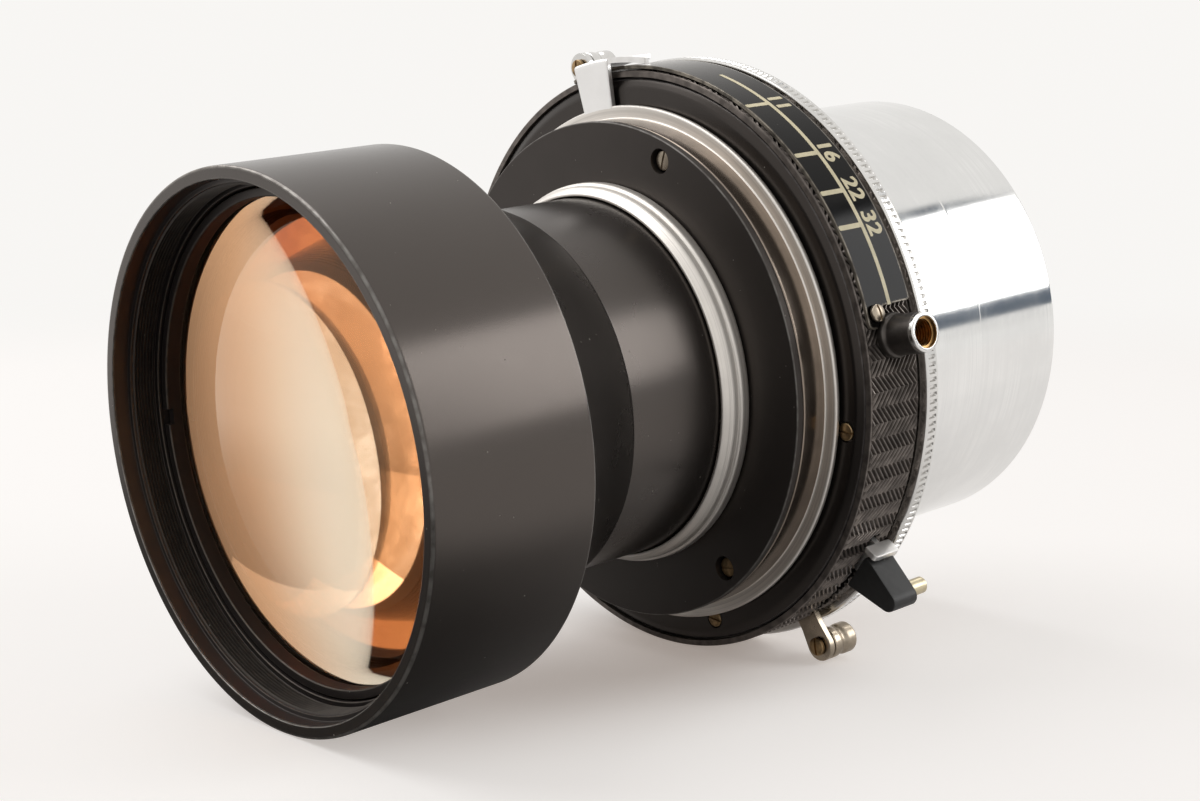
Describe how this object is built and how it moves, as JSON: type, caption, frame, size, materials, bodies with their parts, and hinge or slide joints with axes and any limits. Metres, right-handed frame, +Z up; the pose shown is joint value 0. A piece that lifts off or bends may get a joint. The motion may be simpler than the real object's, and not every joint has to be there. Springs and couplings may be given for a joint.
{
  "type": "view camera lens",
  "caption": "Lens in a large leaf shutter with a hood, a polished rear barrel, an aperture ring that works an iris, a speed ring, and setting, release and focusing levers.",
  "frame": {"origin": "centre of the bounding box at the surface the lens lies on", "axes": "+Y from the hood towards the rear barrel, level; +Z up; the lens axis rises towards the rear by the tilt that comes from lying on the hood and on the speed ring"},
  "size_m": [0.1248, 0.1718, 0.1195],
  "materials": {
    "black_metal": "satin black anodised",
    "black_gloss": "glossy black enamel",
    "coated_glass": "polished, amber coated",
    "turned_aluminium": "turned and polished",
    "blackened_blade": "blackened thin sheet",
    "bright_chrome": "bright",
    "warm_nickel": "worn nickel",
    "brass": "dull",
    "spring_steel": "ground",
    "black_plastic": "matte"
  },
  "bodies": {
    "housing": {"front_hood": "black_metal", "front_retaining_ring": "black_metal", "front_element": "coated_glass", "front_cell_tube": "black_metal", "doublet_crown": "coated_glass", "doublet_flint": "coated_glass", "doublet_retaining_ring": "black_metal", "inner_element": "coated_glass", "inner_retaining_ring": "black_metal", "neck_collar": "turned_aluminium", "flange_disc": "black_metal", "disc_screw_1": "warm_nickel", "disc_screw_2": "warm_nickel", "disc_screw_3": "warm_nickel", "iris_housing": "black_metal", "back_plate": "black_gloss", "plate_screw_1": "brass", "plate_screw_2": "brass", "plate_screw_3": "brass", "plate_screw_4": "brass", "shutter_housing": "black_metal", "scale_plate": "black_gloss", "scale_screw_1": "warm_nickel", "scale_screw_2": "warm_nickel", "cable_socket": "warm_nickel", "mechanism_plate": "spring_steel", "mainspring": "spring_steel", "rear_plate": "spring_steel", "speed_ring_cap": "black_metal", "rear_barrel": "turned_aluminium", "rear_barrel_end": "turned_aluminium", "middle_element": "coated_glass", "rear_element": "coated_glass", "rear_retaining_ring": "black_metal"},
    "aperture": {"aperture_ring": "bright_chrome", "iris_cam_ring": "blackened_blade"},
    "speed": {"speed_ring": "bright_chrome"},
    "setting": {"setting_lever": "bright_chrome", "setting_grip": "black_plastic", "grip_pin": "brass"},
    "release": {"release_lever": "warm_nickel", "release_knob": "warm_nickel", "release_screw": "brass"},
    "focus": {"focus_lever": "bright_chrome", "focus_knob": "bright_chrome", "focus_screw": "brass"},
    "blade_ring": {"blade_ring": "spring_steel"},
    "iris_blade_1": {"iris_blade_1": "blackened_blade"},
    "iris_blade_2": {"iris_blade_2": "blackened_blade"},
    "iris_blade_3": {"iris_blade_3": "blackened_blade"},
    "iris_blade_4": {"iris_blade_4": "blackened_blade"},
    "iris_blade_5": {"iris_blade_5": "blackened_blade"},
    "iris_blade_6": {"iris_blade_6": "blackened_blade"},
    "iris_blade_7": {"iris_blade_7": "blackened_blade"},
    "iris_blade_8": {"iris_blade_8": "blackened_blade"},
    "shutter_blade_1": {"shutter_blade_1": "blackened_blade"},
    "shutter_blade_2": {"shutter_blade_2": "blackened_blade"},
    "shutter_blade_3": {"shutter_blade_3": "blackened_blade"},
    "shutter_blade_4": {"shutter_blade_4": "blackened_blade"},
    "shutter_blade_5": {"shutter_blade_5": "blackened_blade"}
  },
  "joints": [
    {"name": "aperture_turn", "type": "hinge", "parent": "housing", "child": "aperture", "pos_m": [-0.0034, 0.00602, 0.05712], "axis": [0, 0.9964, 0.0853], "range_deg": [0, 55]},
    {"name": "speed_turn", "type": "hinge", "parent": "housing", "child": "speed", "pos_m": [-0.0034, 0.02694, 0.05891], "axis": [0, 0.9964, 0.0853], "range_deg": [0, 150]},
    {"name": "setting_stroke", "type": "hinge", "parent": "housing", "child": "setting", "pos_m": [-0.0034, 0.01997, 0.05832], "axis": [0, 0.9964, 0.0853], "range_deg": [0, 14], "stiffness_Nm_per_rad": 0.15, "springref_deg": -17.19},
    {"name": "release_press", "type": "hinge", "parent": "housing", "child": "release", "pos_m": [0.0196, 0.02626, 0.01887], "axis": [0, -0.9964, -0.0853], "range_deg": [0, 8], "stiffness_Nm_per_rad": 0.03, "springref_deg": -11.46},
    {"name": "shutter_open", "type": "hinge", "parent": "housing", "child": "blade_ring", "pos_m": [-0.0034, 0.01598, 0.05797], "axis": [0, 0.9964, 0.0853], "range_deg": [0, 15]},
    {"name": "focus_press", "type": "hinge", "parent": "housing", "child": "focus", "pos_m": [-0.02357, 0.01933, 0.09976], "axis": [0, -0.9964, -0.0853], "range_deg": [0, 20.5]},
    {"name": "iris_swing_1", "type": "hinge", "parent": "housing", "child": "iris_blade_1", "pos_m": [0.0382, 0.00482, 0.05702], "axis": [0, -0.9964, -0.0853], "range_deg": [0, 46]},
    {"name": "iris_swing_2", "type": "hinge", "parent": "housing", "child": "iris_blade_2", "pos_m": [0.02601, 0.00287, 0.08637], "axis": [0, -0.9964, -0.0853], "range_deg": [0, 46]},
    {"name": "iris_swing_3", "type": "hinge", "parent": "housing", "child": "iris_blade_3", "pos_m": [-0.0034, 0.00239, 0.09856], "axis": [0, -0.9964, -0.0853], "range_deg": [0, 46]},
    {"name": "iris_swing_4", "type": "hinge", "parent": "housing", "child": "iris_blade_4", "pos_m": [-0.03282, 0.00399, 0.08647], "axis": [0, -0.9964, -0.0853], "range_deg": [0, 46]},
    {"name": "iris_swing_5", "type": "hinge", "parent": "housing", "child": "iris_blade_5", "pos_m": [-0.045, 0.00706, 0.05721], "axis": [0, -0.9964, -0.0853], "range_deg": [0, 46]},
    {"name": "iris_swing_6", "type": "hinge", "parent": "housing", "child": "iris_blade_6", "pos_m": [-0.03282, 0.01012, 0.02795], "axis": [0, -0.9964, -0.0853], "range_deg": [0, 46]},
    {"name": "iris_swing_7", "type": "hinge", "parent": "housing", "child": "iris_blade_7", "pos_m": [-0.0034, 0.01172, 0.01586], "axis": [0, -0.9964, -0.0853], "range_deg": [0, 46]},
    {"name": "iris_swing_8", "type": "hinge", "parent": "housing", "child": "iris_blade_8", "pos_m": [0.02601, 0.01124, 0.02805], "axis": [0, -0.9964, -0.0853], "range_deg": [0, 46]},
    {"name": "shutter_swing_1", "type": "hinge", "parent": "housing", "child": "shutter_blade_1", "pos_m": [0.0426, 0.01299, 0.05772], "axis": [0, 0.9964, 0.0853], "range_deg": [0, 69]},
    {"name": "shutter_swing_2", "type": "hinge", "parent": "housing", "child": "shutter_blade_2", "pos_m": [0.01081, 0.00982, 0.10136], "axis": [0, 0.9964, 0.0853], "range_deg": [0, 69]},
    {"name": "shutter_swing_3", "type": "hinge", "parent": "housing", "child": "shutter_blade_3", "pos_m": [-0.04062, 0.0118, 0.08475], "axis": [0, 0.9964, 0.0853], "range_deg": [0, 69]},
    {"name": "shutter_swing_4", "type": "hinge", "parent": "housing", "child": "shutter_blade_4", "pos_m": [-0.04062, 0.01698, 0.03092], "axis": [0, 0.9964, 0.0853], "range_deg": [0, 69]},
    {"name": "shutter_swing_5", "type": "hinge", "parent": "housing", "child": "shutter_blade_5", "pos_m": [0.01081, 0.01896, 0.01432], "axis": [0, 0.9964, 0.0853], "range_deg": [0, 69]}
  ],
  "couplings": [
    {"joint": "focus_press", "follows": "shutter_open", "ratio": 1.3333},
    {"joint": "iris_swing_1", "follows": "aperture_turn", "ratio": 0.8182},
    {"joint": "iris_swing_2", "follows": "aperture_turn", "ratio": 0.8182},
    {"joint": "iris_swing_3", "follows": "aperture_turn", "ratio": 0.8182},
    {"joint": "iris_swing_4", "follows": "aperture_turn", "ratio": 0.8182},
    {"joint": "iris_swing_5", "follows": "aperture_turn", "ratio": 0.8182},
    {"joint": "iris_swing_6", "follows": "aperture_turn", "ratio": 0.8182},
    {"joint": "iris_swing_7", "follows": "aperture_turn", "ratio": 0.8182},
    {"joint": "iris_swing_8", "follows": "aperture_turn", "ratio": 0.8182},
    {"joint": "shutter_swing_1", "follows": "shutter_open", "ratio": 4.5333},
    {"joint": "shutter_swing_2", "follows": "shutter_open", "ratio": 4.5333},
    {"joint": "shutter_swing_3", "follows": "shutter_open", "ratio": 4.5333},
    {"joint": "shutter_swing_4", "follows": "shutter_open", "ratio": 4.5333},
    {"joint": "shutter_swing_5", "follows": "shutter_open", "ratio": 4.5333}
  ]
}
